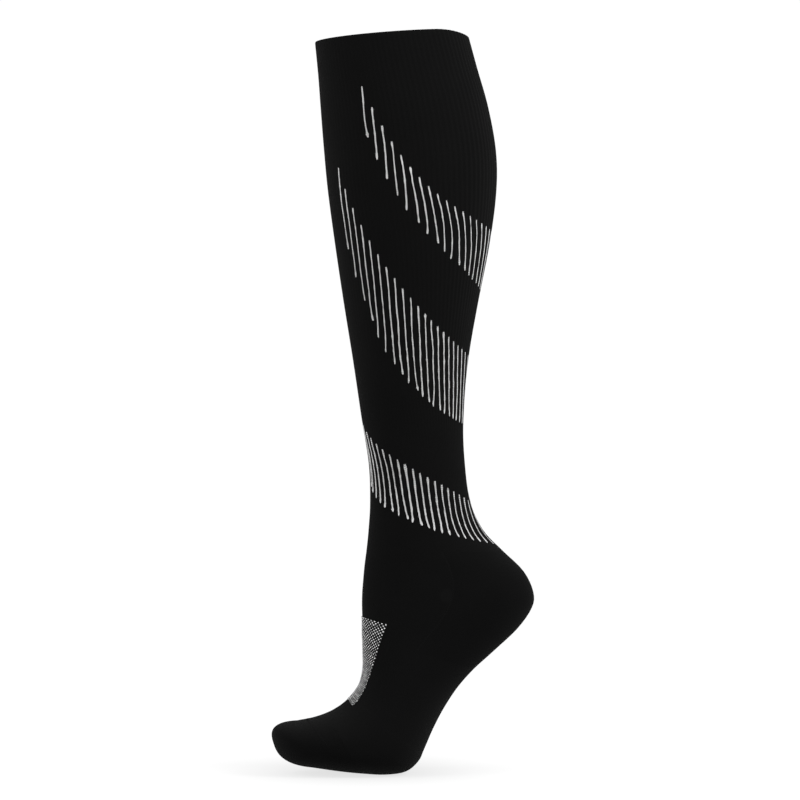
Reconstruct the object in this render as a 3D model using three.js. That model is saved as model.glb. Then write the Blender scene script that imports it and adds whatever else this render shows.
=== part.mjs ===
// A knee-high compression stocking, filled out as if worn, standing on the ball of a pointed foot.
// Millimetres. +Z is up the leg, -X is where the toe points, and +Y is across the leg.
// The origin is the middle of the top opening, where the wearer's leg goes in.
import * as THREE from "three";

// Wall thickness of each knitted part.
const WALL = 1.2;
const WELT_WALL = 2.0;
const HEEL_WALL = 1.6;
const TOE_WALL = 1.6;

// Gap between neighbouring parts.
const SEAM_GAP = 0.3;

// The knit's lengthwise lines, the wales, are counted in columns all round from the front centre.
const COLUMNS = 56;
const FRONT_CENTRE = 0;
const BACK_CENTRE = COLUMNS / 2;
const PANEL_HALF_COLUMNS = COLUMNS / 8;
const HEEL_HALF_COLUMNS = COLUMNS / 4;

// The top edge sinks this far behind the knee, over this share of the girth on each side of the back.
const RIM_DIP = 4.4;
const RIM_DIP_REACH = 0.13;

// The toe pocket's rounded end: where its tip lies, and how full it is from the side and from above.
// TOE_LEAD is the share of the rounding that the sections before it have already made.
const TOE_TIP = { x: -80.5, z: -484 };
const TOE_SIDE_FULLNESS = 2.8;
const TOE_TOP_FULLNESS = 2.1;
const TOE_LEAD = 0.3;
const TOE_RINGS = 6;

// Each section is a ring across the tube, from its front point to its back point in the leg's middle plane.
// halfWidth is across the leg. A ring's fullness at its front and its back is 2 for an ellipse.
// rows is how many rows of facets run down to the next section.
const SECTIONS = [
  ["at", "frontX", "frontZ", "backX", "backZ", "halfWidth", "frontFull", "backFull", "rows"],
  ["rim", -52.1, -3.9, 52.1, 3.9, 50, 2.0, 2.1, 2],
  ["welt_foot", -49.8, -27.5, 59.3, -22.5, 52.5, 2.0, 2.1, 2],
  ["upper_calf", -48.0, -51.8, 66.6, -48.4, 54.5, 1.95, 2.15, 2],
  ["calf", -45.8, -79.2, 71.9, -77.9, 55.5, 1.9, 2.15, 2],
  ["full_calf", -43.3, -105.3, 72.3, -105.3, 55, 1.9, 2.15, 2],
  ["under_calf", -38.7, -139.8, 68.0, -139.8, 52, 1.9, 2.1, 2],
  ["mid_shin", -32.6, -180.9, 60.0, -180.9, 46, 1.95, 2.05, 2],
  ["low_shin", -26.0, -222.0, 52.9, -222.4, 39.5, 2.0, 2.0, 2],
  ["above_ankle", -19.9, -263.1, 49.6, -263.5, 34, 2.0, 1.95, 2],
  ["small_ankle", -15.2, -292.9, 50.8, -294.3, 31.5, 2.05, 1.9, 2],
  ["ankle", -14.3, -319.0, 54.5, -319.0, 31, 2.1, 1.9, 1],
  ["leg_foot", -15.4, -338.2, 63.2, -338.2, 31.5, 2.1, 1.95, 1],
  ["heel_top", -16.7, -351.2, 76.8, -352.5, 32.5, 2.1, 2.1, 2],
  ["heel_upper", -18.1, -362.1, 90.9, -366.6, 33.3, 2.1, 2.25, 2],
  ["heel_back", -19.0, -371.7, 97.4, -380.6, 33.8, 2.1, 2.3, 1],
  ["heel_round", -19.7, -380.6, 96.4, -391.2, 33.8, 2.1, 2.3, 2],
  ["heel_lower", -19.9, -388.8, 86.6, -405.4, 33.5, 2.1, 2.25, 1],
  ["panel_top", -19.7, -397.1, 70.7, -420.4, 33, 2.1, 2.2, 1],
  ["heel_foot", -19.6, -408.0, 57.3, -432.7, 33, 2.1, 2.15, 1],
  ["arch", -19.2, -420.4, 45.7, -445.7, 33.5, 2.05, 2.15, 1],
  ["low_arch", -19.2, -432.7, 36.2, -460.1, 34.5, 2.0, 2.2, 1],
  ["instep", -21.3, -442.5, 29.0, -473.8, 36, 2.0, 2.25, 1],
  ["behind_ball", -24.6, -448.3, 22.9, -487.8, 38.5, 1.95, 2.3, 1],
  ["sole_back", -26.5, -450.6, 18.8, -496.3, 40.5, 1.95, 2.35, 1],
  ["panel_foot", -29.4, -453.6, 10.3, -503.2, 42.5, 1.95, 2.4, 1],
  ["ball", -34.8, -458.1, -3.4, -505.2, 44.2, 1.95, 2.5, 1],
  ["toe_start", -42.5, -462.6, -18.5, -504.5, 44.8, 2.0, 2.5, 1],
  ["toes", -52.7, -466.3, -34.9, -502.9, 43, 2.1, 2.5, 1],
  ["toe_round", -64.4, -468.7, -54.1, -500.3, 38.5, 2.2, 2.4, TOE_RINGS],
].flatMap((row, number, [names]) =>
  number === 0 ? [] : [Object.fromEntries(row.map((value, i) => [names[i], value]))],
);

const LAST = SECTIONS.length - 1;
const sectionIndex = (name) => SECTIONS.findIndex((section) => section.at === name);

// Smooth lines through the sections: down the front, down the back, and of each ring's fullness.
const lineThrough = (toVector) => new THREE.CatmullRomCurve3(SECTIONS.map(toVector), false, "catmullrom", 0.5);
const frontLine = lineThrough((s) => new THREE.Vector3(s.frontX, 0, s.frontZ));
const backLine = lineThrough((s) => new THREE.Vector3(s.backX, s.halfWidth, s.backZ));
const fullnessLine = lineThrough((s) => new THREE.Vector3(s.frontFull, s.backFull, 0));

// How much of the last section's size is left at a place between it, 0, and the toe's tip, 1.
function toeSize(ahead, fullness) {
  const rounding = TOE_LEAD + (1 - TOE_LEAD) * ahead;
  const left = (1 - Math.pow(rounding, fullness)) / (1 - Math.pow(TOE_LEAD, fullness));
  return Math.pow(Math.max(0, left), 1 / fullness);
}

// The ring at a station, which is a section's number or a place between two sections.
// Stations past the last section close the toe: they run from there to the tip at LAST + 1.
function ringShape(station) {
  const onTube = Math.min(station, LAST) / LAST;
  const front = frontLine.getPoint(onTube);
  const back = backLine.getPoint(onTube);
  const fullness = fullnessLine.getPoint(onTube);
  const centre = new THREE.Vector3((front.x + back.x) / 2, 0, (front.z + back.z) / 2);
  const toFront = new THREE.Vector3(front.x - centre.x, 0, front.z - centre.z);
  const halfDepth = toFront.length();
  const closing = Math.max(0, station - LAST);
  const ahead = Math.sin((closing * Math.PI) / 2);
  centre.lerp(new THREE.Vector3(TOE_TIP.x, 0, TOE_TIP.z), ahead);
  return {
    centre,
    toFront: toFront.normalize(),
    halfDepth: halfDepth * toeSize(ahead, TOE_SIDE_FULLNESS),
    halfWidth: back.y * toeSize(ahead, TOE_TOP_FULLNESS),
    frontFull: fullness.x,
    backFull: fullness.y,
  };
}

// A ring's outline as closely spaced points, each with its length along the ring from the front centre.
const OUTLINE_STEPS = 720;
function ringOutline(shape) {
  const points = [];
  let length = 0;
  for (let i = 0; i <= OUTLINE_STEPS; i++) {
    const angle = (2 * Math.PI * i) / OUTLINE_STEPS;
    const along = Math.cos(angle);
    const across = Math.sin(angle);
    const power = 2 / (along > 0 ? shape.frontFull : shape.backFull);
    const depth = shape.halfDepth * Math.sign(along) * Math.pow(Math.abs(along), power);
    const width = -shape.halfWidth * Math.sign(across) * Math.pow(Math.abs(across), power);
    if (i > 0) length += Math.hypot(depth - points[i - 1].depth, width - points[i - 1].width);
    points.push({ depth, width, length });
  }
  return points;
}

const outlines = new Map();
function outlineAt(station) {
  if (!outlines.has(station)) {
    const shape = ringShape(station);
    outlines.set(station, { shape, points: ringOutline(shape) });
  }
  return outlines.get(station);
}

// The outer skin's point at a station and a wale, where the wale is a share of the needles from 0 to 1.
function skinPoint(station, wale) {
  const { shape, points } = outlineAt(station);
  const target = (wale - Math.floor(wale)) * points[OUTLINE_STEPS].length;
  let low = 0;
  let high = OUTLINE_STEPS;
  while (high - low > 1) {
    const middle = (low + high) >> 1;
    if (points[middle].length > target) high = middle;
    else low = middle;
  }
  const span = points[high].length - points[low].length;
  const part = span > 0 ? (target - points[low].length) / span : 0;
  const depth = THREE.MathUtils.lerp(points[low].depth, points[high].depth, part);
  const width = THREE.MathUtils.lerp(points[low].width, points[high].width, part);
  return new THREE.Vector3(
    shape.centre.x + shape.toFront.x * depth,
    width,
    shape.centre.z + shape.toFront.z * depth,
  );
}

// The skin's outward direction, from short steps along and across the knit.
const STATION_STEP = 0.02;
const WALE_STEP = 0.004;
function skinNormal(station, wale) {
  if (station >= LAST + 1) return new THREE.Vector3(-1, 0, 0);
  const lower = Math.min(station + STATION_STEP, LAST + 1 - STATION_STEP / 2);
  const upper = Math.max(station - STATION_STEP, 0);
  const down = skinPoint(lower, wale).sub(skinPoint(upper, wale));
  const round = skinPoint(station, wale + WALE_STEP).sub(skinPoint(station, wale - WALE_STEP));
  return round.cross(down).normalize().negate();
}

// The rows of facets, as stations. Neighbouring parts share them.
const STATIONS = SECTIONS.flatMap((section, i) =>
  Array.from({ length: section.rows }, (_, row) => i + row / section.rows),
);
STATIONS.push(LAST + 1);
const rowOf = (name) => STATIONS.indexOf(sectionIndex(name));
const TIP_ROW = STATIONS.length - 1;

// How far below the first section the top edge lies, as a station.
function rimStation(wale) {
  const fromBack = Math.abs(wale - Math.floor(wale) - 0.5);
  const depth = RIM_DIP * (1 - THREE.MathUtils.smoothstep(fromBack, 0, RIM_DIP_REACH));
  const spanLength = skinPoint(0, wale).distanceTo(skinPoint(1, wale));
  return depth / spanLength;
}

// Builds the closed wall over the cells that covers(row, column) picks.
// A cell lies between two rows and between two columns.
// An edge where the part ends inside the tube is drawn back by half the seam gap.
// thickness is the wall's, measured inwards, so that the outer skin stays smooth from part to part.
function knittedWall(covers, thickness) {
  const wrap = (column) => ((column % COLUMNS) + COLUMNS) % COLUMNS;
  const has = (row, column) => row >= 0 && row < TIP_ROW && covers(row, wrap(column));
  const vertices = [];
  const triangles = [];
  const numbers = new Map();

  // The outer and inner vertex at the corner of four cells, as a pair of numbers.
  function corner(row, column) {
    const wrapped = row === TIP_ROW ? 0 : wrap(column);
    const key = row * COLUMNS + wrapped;
    if (!numbers.has(key)) {
      const above = has(row - 1, column - 1) + has(row - 1, column);
      const below = has(row, column - 1) + has(row, column);
      const before = has(row - 1, column - 1) + has(row, column - 1);
      const after = has(row - 1, column) + has(row, column);
      const wale = wrapped / COLUMNS;
      let station = STATIONS[row];
      let shiftedWale = wale;
      if (row === 0) {
        station = rimStation(wale);
      } else if (row < TIP_ROW) {
        const here = skinPoint(station, wale);
        const stepDown = skinPoint(station + STATION_STEP, wale).distanceTo(here);
        const stepRound = skinPoint(station, wale + WALE_STEP).distanceTo(here);
        station += (Math.sign(below - above) * SEAM_GAP * STATION_STEP) / (2 * stepDown);
        shiftedWale += (Math.sign(after - before) * SEAM_GAP * WALE_STEP) / (2 * stepRound);
      }
      const outer = skinPoint(station, shiftedWale);
      const inner = outer.clone().addScaledVector(skinNormal(station, shiftedWale), -thickness);
      numbers.set(key, vertices.length / 3);
      vertices.push(outer.x, outer.y, outer.z, inner.x, inner.y, inner.z);
    }
    const number = numbers.get(key);
    return { outer: number, inner: number + 1 };
  }

  const quad = (a, b, c, d) => triangles.push(a, b, c, a, c, d);
  for (let row = 0; row < TIP_ROW; row++) {
    for (let column = 0; column < COLUMNS; column++) {
      if (!has(row, column)) continue;
      const a = corner(row, column);
      const b = corner(row, column + 1);
      const c = corner(row + 1, column + 1);
      const d = corner(row + 1, column);
      if (row + 1 === TIP_ROW) {
        triangles.push(a.outer, c.outer, b.outer, a.inner, b.inner, c.inner);
      } else {
        quad(a.outer, d.outer, c.outer, b.outer);
        quad(a.inner, b.inner, c.inner, d.inner);
        if (!has(row + 1, column)) quad(d.outer, d.inner, c.inner, c.outer);
      }
      if (!has(row - 1, column)) quad(b.outer, b.inner, a.inner, a.outer);
      if (!has(row, column - 1)) quad(a.outer, a.inner, d.inner, d.outer);
      if (!has(row, column + 1)) quad(c.outer, c.inner, b.inner, b.outer);
    }
  }
  const geometry = new THREE.BufferGeometry();
  geometry.setAttribute("position", new THREE.Float32BufferAttribute(vertices, 3));
  geometry.setIndex(triangles);
  geometry.computeVertexNormals();
  return geometry;
}

const columnsFrom = (column, centre) => {
  const away = Math.abs(column + 0.5 - centre);
  return Math.min(away, COLUMNS - away);
};
const between = (row, first, last) => row >= rowOf(first) && row < rowOf(last);

// Which cells each part covers.
const inWelt = (row) => between(row, "rim", "welt_foot");
const inLeg = (row) => between(row, "welt_foot", "heel_top");
const inHeel = (row, column) =>
  between(row, "heel_top", "heel_foot") && columnsFrom(column, BACK_CENTRE) < HEEL_HALF_COLUMNS;
const inPanel = (row, column) =>
  between(row, "panel_top", "panel_foot") && columnsFrom(column, FRONT_CENTRE) < PANEL_HALF_COLUMNS;
const inToe = (row) => row >= rowOf("toe_start");
const inFoot = (row, column) =>
  between(row, "heel_top", "toe_start") && !inHeel(row, column) && !inPanel(row, column);

const blackKnit = new THREE.MeshStandardMaterial({ color: 0x161616, roughness: 0.85, metalness: 0 });
const blackReinforced = new THREE.MeshStandardMaterial({ color: 0x131313, roughness: 0.9, metalness: 0 });
const marlKnit = new THREE.MeshStandardMaterial({ color: 0x8a8a8a, roughness: 0.85, metalness: 0 });

function part(name, geometry, material) {
  const mesh = new THREE.Mesh(geometry, material);
  mesh.name = name;
  return mesh;
}

const stocking = new THREE.Group();
stocking.add(
  part("welt", knittedWall(inWelt, WELT_WALL), blackKnit),
  part("leg", knittedWall(inLeg, WALL), blackKnit),
  part("heel", knittedWall(inHeel, HEEL_WALL), blackReinforced),
  part("foot", knittedWall(inFoot, WALL), blackKnit),
  part("instep_panel", knittedWall(inPanel, WALL), marlKnit),
  part("toe", knittedWall(inToe, TOE_WALL), blackReinforced),
);

export default stocking;
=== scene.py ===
"""A knee-high compression stocking: knitted parts, light stripes and seams on the CAD frame.

Metres. +Z is up the leg, -X is where the toe points, and +Y is across the leg.
"""
import logging
import math
from dataclasses import dataclass, field
from enum import Enum
from functools import cache

import bpy
import numpy as np
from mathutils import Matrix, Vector


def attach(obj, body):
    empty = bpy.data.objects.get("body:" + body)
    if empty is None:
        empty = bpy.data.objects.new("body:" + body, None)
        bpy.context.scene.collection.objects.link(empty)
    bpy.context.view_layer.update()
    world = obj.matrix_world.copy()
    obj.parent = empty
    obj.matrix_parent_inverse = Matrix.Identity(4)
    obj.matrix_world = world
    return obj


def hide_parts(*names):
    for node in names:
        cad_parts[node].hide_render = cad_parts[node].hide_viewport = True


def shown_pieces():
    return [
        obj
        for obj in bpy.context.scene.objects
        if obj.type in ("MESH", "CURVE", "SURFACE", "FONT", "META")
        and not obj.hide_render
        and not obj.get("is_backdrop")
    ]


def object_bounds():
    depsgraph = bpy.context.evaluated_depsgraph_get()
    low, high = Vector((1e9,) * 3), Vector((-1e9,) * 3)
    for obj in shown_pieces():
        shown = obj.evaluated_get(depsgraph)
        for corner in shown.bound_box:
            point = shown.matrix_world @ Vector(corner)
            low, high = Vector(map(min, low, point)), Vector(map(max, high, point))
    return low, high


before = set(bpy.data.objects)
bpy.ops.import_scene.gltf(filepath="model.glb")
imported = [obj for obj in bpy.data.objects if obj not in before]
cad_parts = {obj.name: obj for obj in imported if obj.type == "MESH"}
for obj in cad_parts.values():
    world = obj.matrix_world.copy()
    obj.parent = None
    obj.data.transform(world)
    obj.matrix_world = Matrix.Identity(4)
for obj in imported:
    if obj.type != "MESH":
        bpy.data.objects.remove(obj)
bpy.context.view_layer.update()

logging.basicConfig(level=logging.INFO, format="%(message)s")
LOG = logging.getLogger("stocking")

Array = np.ndarray
Sizes = Array | float
Piece = bpy.types.Object
Socket = bpy.types.NodeSocket
Pair = tuple[float, float]
Triple = tuple[float, float, float]
Colour = tuple[float, float, float, float]

MM = 0.001
BODY = "root"

# The knit: needles and ribs all round, and the height of one course.
NEEDLES = 192
RIBS = 96
COURSE = 0.85 * MM

# Wall thickness of each knitted part, as in the CAD.
WALL = 1.2 * MM
WELT_WALL = 2.0 * MM
HEEL_WALL = 1.6 * MM
TOE_WALL = 1.6 * MM

# The drawn loops of the heel's suture and the toe's seam: how wide and how thick they are.
SEAM_WIDTH = 0.9 * MM
SEAM_DEPTH = 0.3 * MM

# Where a highlight is painted over the ankle bone on either side: x, z and how far round it.
ANKLE_HIGHLIGHT = (37.7 * MM, -381.8 * MM, 5.5 * MM)

# The corners of a grid's cell, as steps of the row and the column, and the neighbour that
# lies past each side, from one corner to the next.
CORNERS = ((0, 0), (1, 0), (1, 1), (0, 1))
NEIGHBOURS = ((0, -1), (1, 0), (0, 1), (-1, 0))


class Slot(Enum):
    """The record's material slots."""

    KNIT = "black_knit"
    REINFORCED = "black_reinforced"
    MARL = "marl_knit"
    STRIPE = "stripe_yarn"


@dataclass(frozen=True)
class Section:
    """One ring across the tube, from its front point to its back point, in millimetres.

    lean is how far the wales at the leg's sides lie towards the back.
    """

    name: str
    front_x: float
    front_z: float
    back_x: float
    back_z: float
    half_width: float
    front_full: float
    back_full: float
    lean: float = 0.0


# In the order of Section's values, from the rim to the toes.
RINGS = (
    ("rim", -52.1, -3.9, 52.1, 3.9, 50, 2.0, 2.1, -10),
    ("welt_foot", -49.8, -27.5, 59.3, -22.5, 52.5, 2.0, 2.1, -10),
    ("upper_calf", -48.0, -51.8, 66.6, -48.4, 54.5, 1.95, 2.15, -10),
    ("calf", -45.8, -79.2, 71.9, -77.9, 55.5, 1.9, 2.15, -10),
    ("full_calf", -43.3, -105.3, 72.3, -105.3, 55, 1.9, 2.15, -9.5),
    ("under_calf", -38.7, -139.8, 68.0, -139.8, 52, 1.9, 2.1, -5.2),
    ("mid_shin", -32.6, -180.9, 60.0, -180.9, 46, 1.95, 2.05, -0.8),
    ("low_shin", -26.0, -222.0, 52.9, -222.4, 39.5, 2.0, 2.0, 1.9),
    ("above_ankle", -19.9, -263.1, 49.6, -263.5, 34, 2.0, 1.95, 4.2),
    ("small_ankle", -15.2, -292.9, 50.8, -294.3, 31.5, 2.05, 1.9, 5.0),
    ("ankle", -14.3, -319.0, 54.5, -319.0, 31, 2.1, 1.9, 5.4),
    ("leg_foot", -15.4, -338.2, 63.2, -338.2, 31.5, 2.1, 1.95, 5.2),
    ("heel_top", -16.7, -351.2, 76.8, -352.5, 32.5, 2.1, 2.1, 4.5),
    ("heel_upper", -18.1, -362.1, 90.9, -366.6, 33.3, 2.1, 2.25, 3.5),
    ("heel_back", -19.0, -371.7, 97.4, -380.6, 33.8, 2.1, 2.3, 2.5),
    ("heel_round", -19.7, -380.6, 96.4, -391.2, 33.8, 2.1, 2.3, 1.7),
    ("heel_lower", -19.9, -388.8, 86.6, -405.4, 33.5, 2.1, 2.25, 1.0),
    ("panel_top", -19.7, -397.1, 70.7, -420.4, 33, 2.1, 2.2),
    ("heel_foot", -19.6, -408.0, 57.3, -432.7, 33, 2.1, 2.15, -1.5),
    ("arch", -19.2, -420.4, 45.7, -445.7, 33.5, 2.05, 2.15, -3.0),
    ("low_arch", -19.2, -432.7, 36.2, -460.1, 34.5, 2.0, 2.2, -4.5),
    ("instep", -21.3, -442.5, 29.0, -473.8, 36, 2.0, 2.25, -5.5),
    ("behind_ball", -24.6, -448.3, 22.9, -487.8, 38.5, 1.95, 2.3, -5.5),
    ("sole_back", -26.5, -450.6, 18.8, -496.3, 40.5, 1.95, 2.35, -5.0),
    ("panel_foot", -29.4, -453.6, 10.3, -503.2, 42.5, 1.95, 2.4, -4.0),
    ("ball", -34.8, -458.1, -3.4, -505.2, 44.2, 1.95, 2.5, -2.0),
    ("toe_start", -42.5, -462.6, -18.5, -504.5, 44.8, 2.0, 2.5),
    ("toes", -52.7, -466.3, -34.9, -502.9, 43, 2.1, 2.5),
    ("toe_round", -64.4, -468.7, -54.1, -500.3, 38.5, 2.2, 2.4),
)
SECTIONS = tuple(Section(*ring) for ring in RINGS)
STATION = {section.name: number for number, section in enumerate(SECTIONS)}
LAST = len(SECTIONS) - 1
TIP = LAST + 1


def summed(steps: Array) -> Array:
    """The running sum of steps, from 0."""
    return np.concatenate([[0], np.cumsum(steps)])


def wave(turns: Array) -> Array:
    """A wave from 0 to 1 that is 0 at each whole turn."""
    return 0.5 - 0.5 * np.cos(2 * math.pi * turns)


def spacing(points: Array) -> Array:
    """How far apart the points of a line are, at each of them."""
    return np.linalg.norm(np.gradient(points, axis=0), axis=1)


@dataclass
class KnittedForm:
    """The outer skin of the filled-out stocking, sampled closely along and round the tube.

    A place on it is a station, which counts the sections down the tube, and a wale, which is
    the share of the girth from the front centre, growing along the side that faces -Y.
    """

    toe_tip: Pair = (-80.5, -484.0)
    toe_side_fullness: float = 2.8
    toe_top_fullness: float = 2.1
    toe_lead: float = 0.3
    rim_dip: float = 4.4 * MM
    rim_dip_reach: float = 0.13
    substeps: int = 24
    round_steps: int = 1440
    tiny: float = 1e-15
    points: Array = field(init=False, repr=False)
    normals: Array = field(init=False, repr=False)
    girths: Array = field(init=False, repr=False)

    def __post_init__(self) -> None:
        """Samples the skin once, with its outward directions and girths."""
        stations = np.arange(TIP * self.substeps + 1) / self.substeps
        self.points, self.girths = self._rings(stations)
        down = np.gradient(self.points, axis=0)
        wide = [self.points[:, -2:-1], self.points, self.points[:, 1:2]]
        wide = np.concatenate(wide, axis=1)
        normals = np.cross(down, (wide[:, 2:] - wide[:, :-2]) / 2)
        normals[-1] = (-1.0, 0.0, 0.0)
        length = np.linalg.norm(normals, axis=2, keepdims=True)
        self.normals = normals / np.maximum(length, self.tiny)

    @staticmethod
    def _measure(name: str, stations: Array) -> Array:
        """Runs a Catmull-Rom line through one measure of the sections.

        Args:
            name: The measure's name in Section.
            stations: Where to read the line.

        Returns:
            The line's value at each station.
        """
        known = np.array([float(getattr(section, name)) for section in SECTIONS])
        stations = np.clip(stations, 0, LAST)
        first = np.minimum(stations.astype(int), LAST - 1)
        t = stations - first
        ends = ([2 * known[0] - known[1]], known, [2 * known[-1] - known[-2]])
        padded = np.concatenate(ends)
        before, here, there, after = (padded[first + k] for k in range(4))
        leaving, arriving = (there - before) / 2, (after - here) / 2
        step = there - here
        squared = 3 * step - 2 * leaving - arriving
        cubed = leaving + arriving - 2 * step
        return here + leaving * t + squared * t**2 + cubed * t**3

    def _toe_size(self, ahead: Array, fullness: float) -> Array:
        """How much of the last section's size is left towards the tip.

        Args:
            ahead: How far ahead, from 0 at that section to 1 at the tip.
            fullness: How full the rounding is: 2 is an ellipse.

        Returns:
            The share that is left, at each place.
        """
        rounding = self.toe_lead + (1 - self.toe_lead) * ahead
        left = (1 - rounding**fullness) / (1 - self.toe_lead**fullness)
        return np.maximum(0, left) ** (1 / fullness)

    def _rings(self, stations: Array) -> tuple[Array, Array]:
        """Works out whole rings of the skin.

        Args:
            stations: The rings' stations.

        Returns:
            The points, ring by ring and evenly round each, and the rings' girths.
        """
        names = ("front_x", "front_z", "back_x", "back_z", "half_width")
        *ends, half_width = (self._measure(name, stations) for name in names)
        front, back = np.stack(ends[:2], axis=1), np.stack(ends[2:], axis=1)
        fullness = [self._measure(f"{end}_full", stations) for end in ("front", "back")]
        centre = (front + back) / 2
        to_front = front - centre
        half_depth = np.linalg.norm(to_front, axis=1)
        to_front /= half_depth[:, None]
        ahead = np.sin(np.clip(stations - LAST, 0, 1) * math.pi / 2)
        centre += (np.array(self.toe_tip) - centre) * ahead[:, None]
        half_depth *= self._toe_size(ahead, self.toe_side_fullness)
        half_width *= self._toe_size(ahead, self.toe_top_fullness)
        angle = np.linspace(0, 2 * math.pi, self.round_steps + 1)
        along, across = np.cos(angle), np.sin(angle)
        points = np.zeros((len(stations), self.round_steps + 1, 3))
        girths = np.zeros(len(stations))
        for ring in range(len(stations)):
            power = 2 / np.where(along > 0, *(full[ring] for full in fullness))
            depth = half_depth[ring] * np.sign(along) * np.abs(along) ** power
            width = -half_width[ring] * np.sign(across) * np.abs(across) ** power
            length = summed(np.hypot(np.diff(depth), np.diff(width)))
            girths[ring] = length[-1] * MM
            even = np.linspace(0, length[-1], self.round_steps + 1)
            depth = np.interp(even, length, depth)
            points[ring, :, 0] = centre[ring, 0] + to_front[ring, 0] * depth
            points[ring, :, 1] = np.interp(even, length, width)
            points[ring, :, 2] = centre[ring, 1] + to_front[ring, 1] * depth
        return points * MM, girths

    def girth(self, stations: Array) -> Array:
        """The girth at each station, in metres."""
        return np.interp(stations * self.substeps, np.arange(len(self.girths)), self.girths)

    def leaning(self, stations: Array, wales: Array) -> Array:
        """Where wales of the leg really lie, because its knit leans as it follows the calf."""
        lean = self._measure("lean", stations) * MM
        return wales + lean / self.girth(stations) * np.sin(2 * math.pi * wales)

    def at(self, stations: Array, wales: Array) -> tuple[Array, Array]:
        """Finds places on the skin.

        Args:
            stations: The places' stations.
            wales: The places' shares of the girth, of a shape that fits the stations'.

        Returns:
            The points and the outward directions there.
        """
        stations, wales = np.broadcast_arrays(np.asarray(stations, float), wales)
        row = np.clip(stations, 0, TIP) * self.substeps
        column = (wales - np.floor(wales)) * self.round_steps
        top = np.minimum(row.astype(int), len(self.points) - 2)
        left = np.minimum(column.astype(int), self.round_steps - 1)
        down, right = (row - top)[..., None], (column - left)[..., None]
        found = []
        for grid in (self.points, self.normals):
            upper = grid[top, left] * (1 - right) + grid[top, left + 1] * right
            lower = grid[top + 1, left] * (1 - right) + grid[top + 1, left + 1] * right
            found.append(upper * (1 - down) + lower * down)
        length = np.linalg.norm(found[1], axis=-1, keepdims=True)
        return found[0], found[1] / np.maximum(length, self.tiny)

    def worn(self, stations: Array, wales: Array) -> tuple[Array, Array]:
        """Finds places on the skin like at, by the wales as the needles count them."""
        return self.at(stations, self.leaning(stations, wales))

    def rim(self, wales: Array, below: float) -> Array:
        """The stations of the top edge, which dips behind the knee.

        Args:
            wales: Where along the edge.
            below: How far under the edge, in metres.

        Returns:
            The stations.
        """
        reach = np.clip(np.abs(wales - np.floor(wales) - 0.5) / self.rim_dip_reach, 0, 1)
        depth = self.rim_dip * (1 - reach**2 * (3 - 2 * reach)) + below
        upper, lower = (self.at(station, wales)[0] for station in (0, 1))
        return depth / np.linalg.norm(lower - upper, axis=-1)

    def station_at_height(self, wale: float, height: float) -> float:
        """The station on the leg where a wale passes a height, in metres."""
        stations = np.linspace(0, STATION["heel_top"], 40 * STATION["heel_top"] + 1)
        return float(np.interp(-height, -self.worn(stations, wale)[0][:, 2], stations))


FORM = KnittedForm()


def ribbed(stations: Array, wales: Array) -> Array:
    """The leg's ribbed outer face.

    The grooves between the ribs are deepest on the calf, they end at the heel, and they are
    shallow over the shin, where the knit is drawn flatter.

    Args:
        stations: The places' stations.
        wales: The wales as the needles count them, of a shape that fits the stations'.

    Returns:
        The points.
    """
    depth = np.interp(stations, [0.0, 4.0, 7.0, 10.0, 11.7], [0.36, 0.40, 0.24, 0.12, 0.0]) * MM
    at_shin = 0.1
    depth = depth * (at_shin + (1 - at_shin) * wave(wales))
    points, normals = FORM.worn(stations, wales)
    return points - normals * (depth * wave(RIBS * wales))[..., None]


def inside(stations: Array, wales: Array, wall: float) -> Array:
    """The leg's inner face, a wall's thickness in."""
    points, normals = FORM.worn(stations, wales)
    return points - normals * wall


def deselect() -> None:
    """Leaves nothing selected."""
    bpy.ops.object.select_all(action="DESELECT")


def make_mesh(
    name: str, vertices: Array, faces: Array, smooth_angle: float = 40.0, uv: Array | None = None
) -> Piece:
    """Makes a piece from arrays.

    Args:
        name: The piece's name.
        vertices: Its points.
        faces: The numbers of its faces' corners, three or four to a face.
        smooth_angle: Edges up to this angle, in degrees, are shaded smooth.
        uv: For each corner of each face, its needle and course.

    Returns:
        The new object, at the origin.
    """
    mesh = bpy.data.meshes.new(name)
    mesh.vertices.add(len(vertices))
    mesh.vertices.foreach_set("co", np.ascontiguousarray(vertices, np.float32).ravel())
    mesh.loops.add(faces.size)
    mesh.loops.foreach_set("vertex_index", np.ascontiguousarray(faces, np.int32).ravel())
    mesh.polygons.add(len(faces))
    starts = np.arange(0, faces.size, faces.shape[1], dtype=np.int32)
    mesh.polygons.foreach_set("loop_start", starts)
    mesh.update(calc_edges=True)
    if uv is not None:
        layer = mesh.uv_layers.new(name="knit")
        layer.data.foreach_set("uv", np.ascontiguousarray(uv, np.float32).ravel())
    mesh.validate()
    piece = bpy.data.objects.new(name, mesh)
    bpy.context.scene.collection.objects.link(piece)
    deselect()
    piece.select_set(True)
    bpy.context.view_layer.objects.active = piece
    bpy.ops.object.mode_set(mode="EDIT")
    bpy.ops.mesh.select_all(action="SELECT")
    bpy.ops.mesh.remove_doubles(threshold=1e-7)
    bpy.ops.mesh.select_all(action="DESELECT")
    bpy.ops.object.mode_set(mode="OBJECT")
    bpy.ops.object.shade_smooth_by_angle(angle=math.radians(smooth_angle))
    deselect()
    return piece


def courses_along(rings: Array) -> Array:
    """Counts the knit's courses from ring to ring, by the mean distance between rings."""
    return summed(np.linalg.norm(np.diff(rings, axis=0), axis=2).mean(axis=1)) / COURSE


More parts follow.
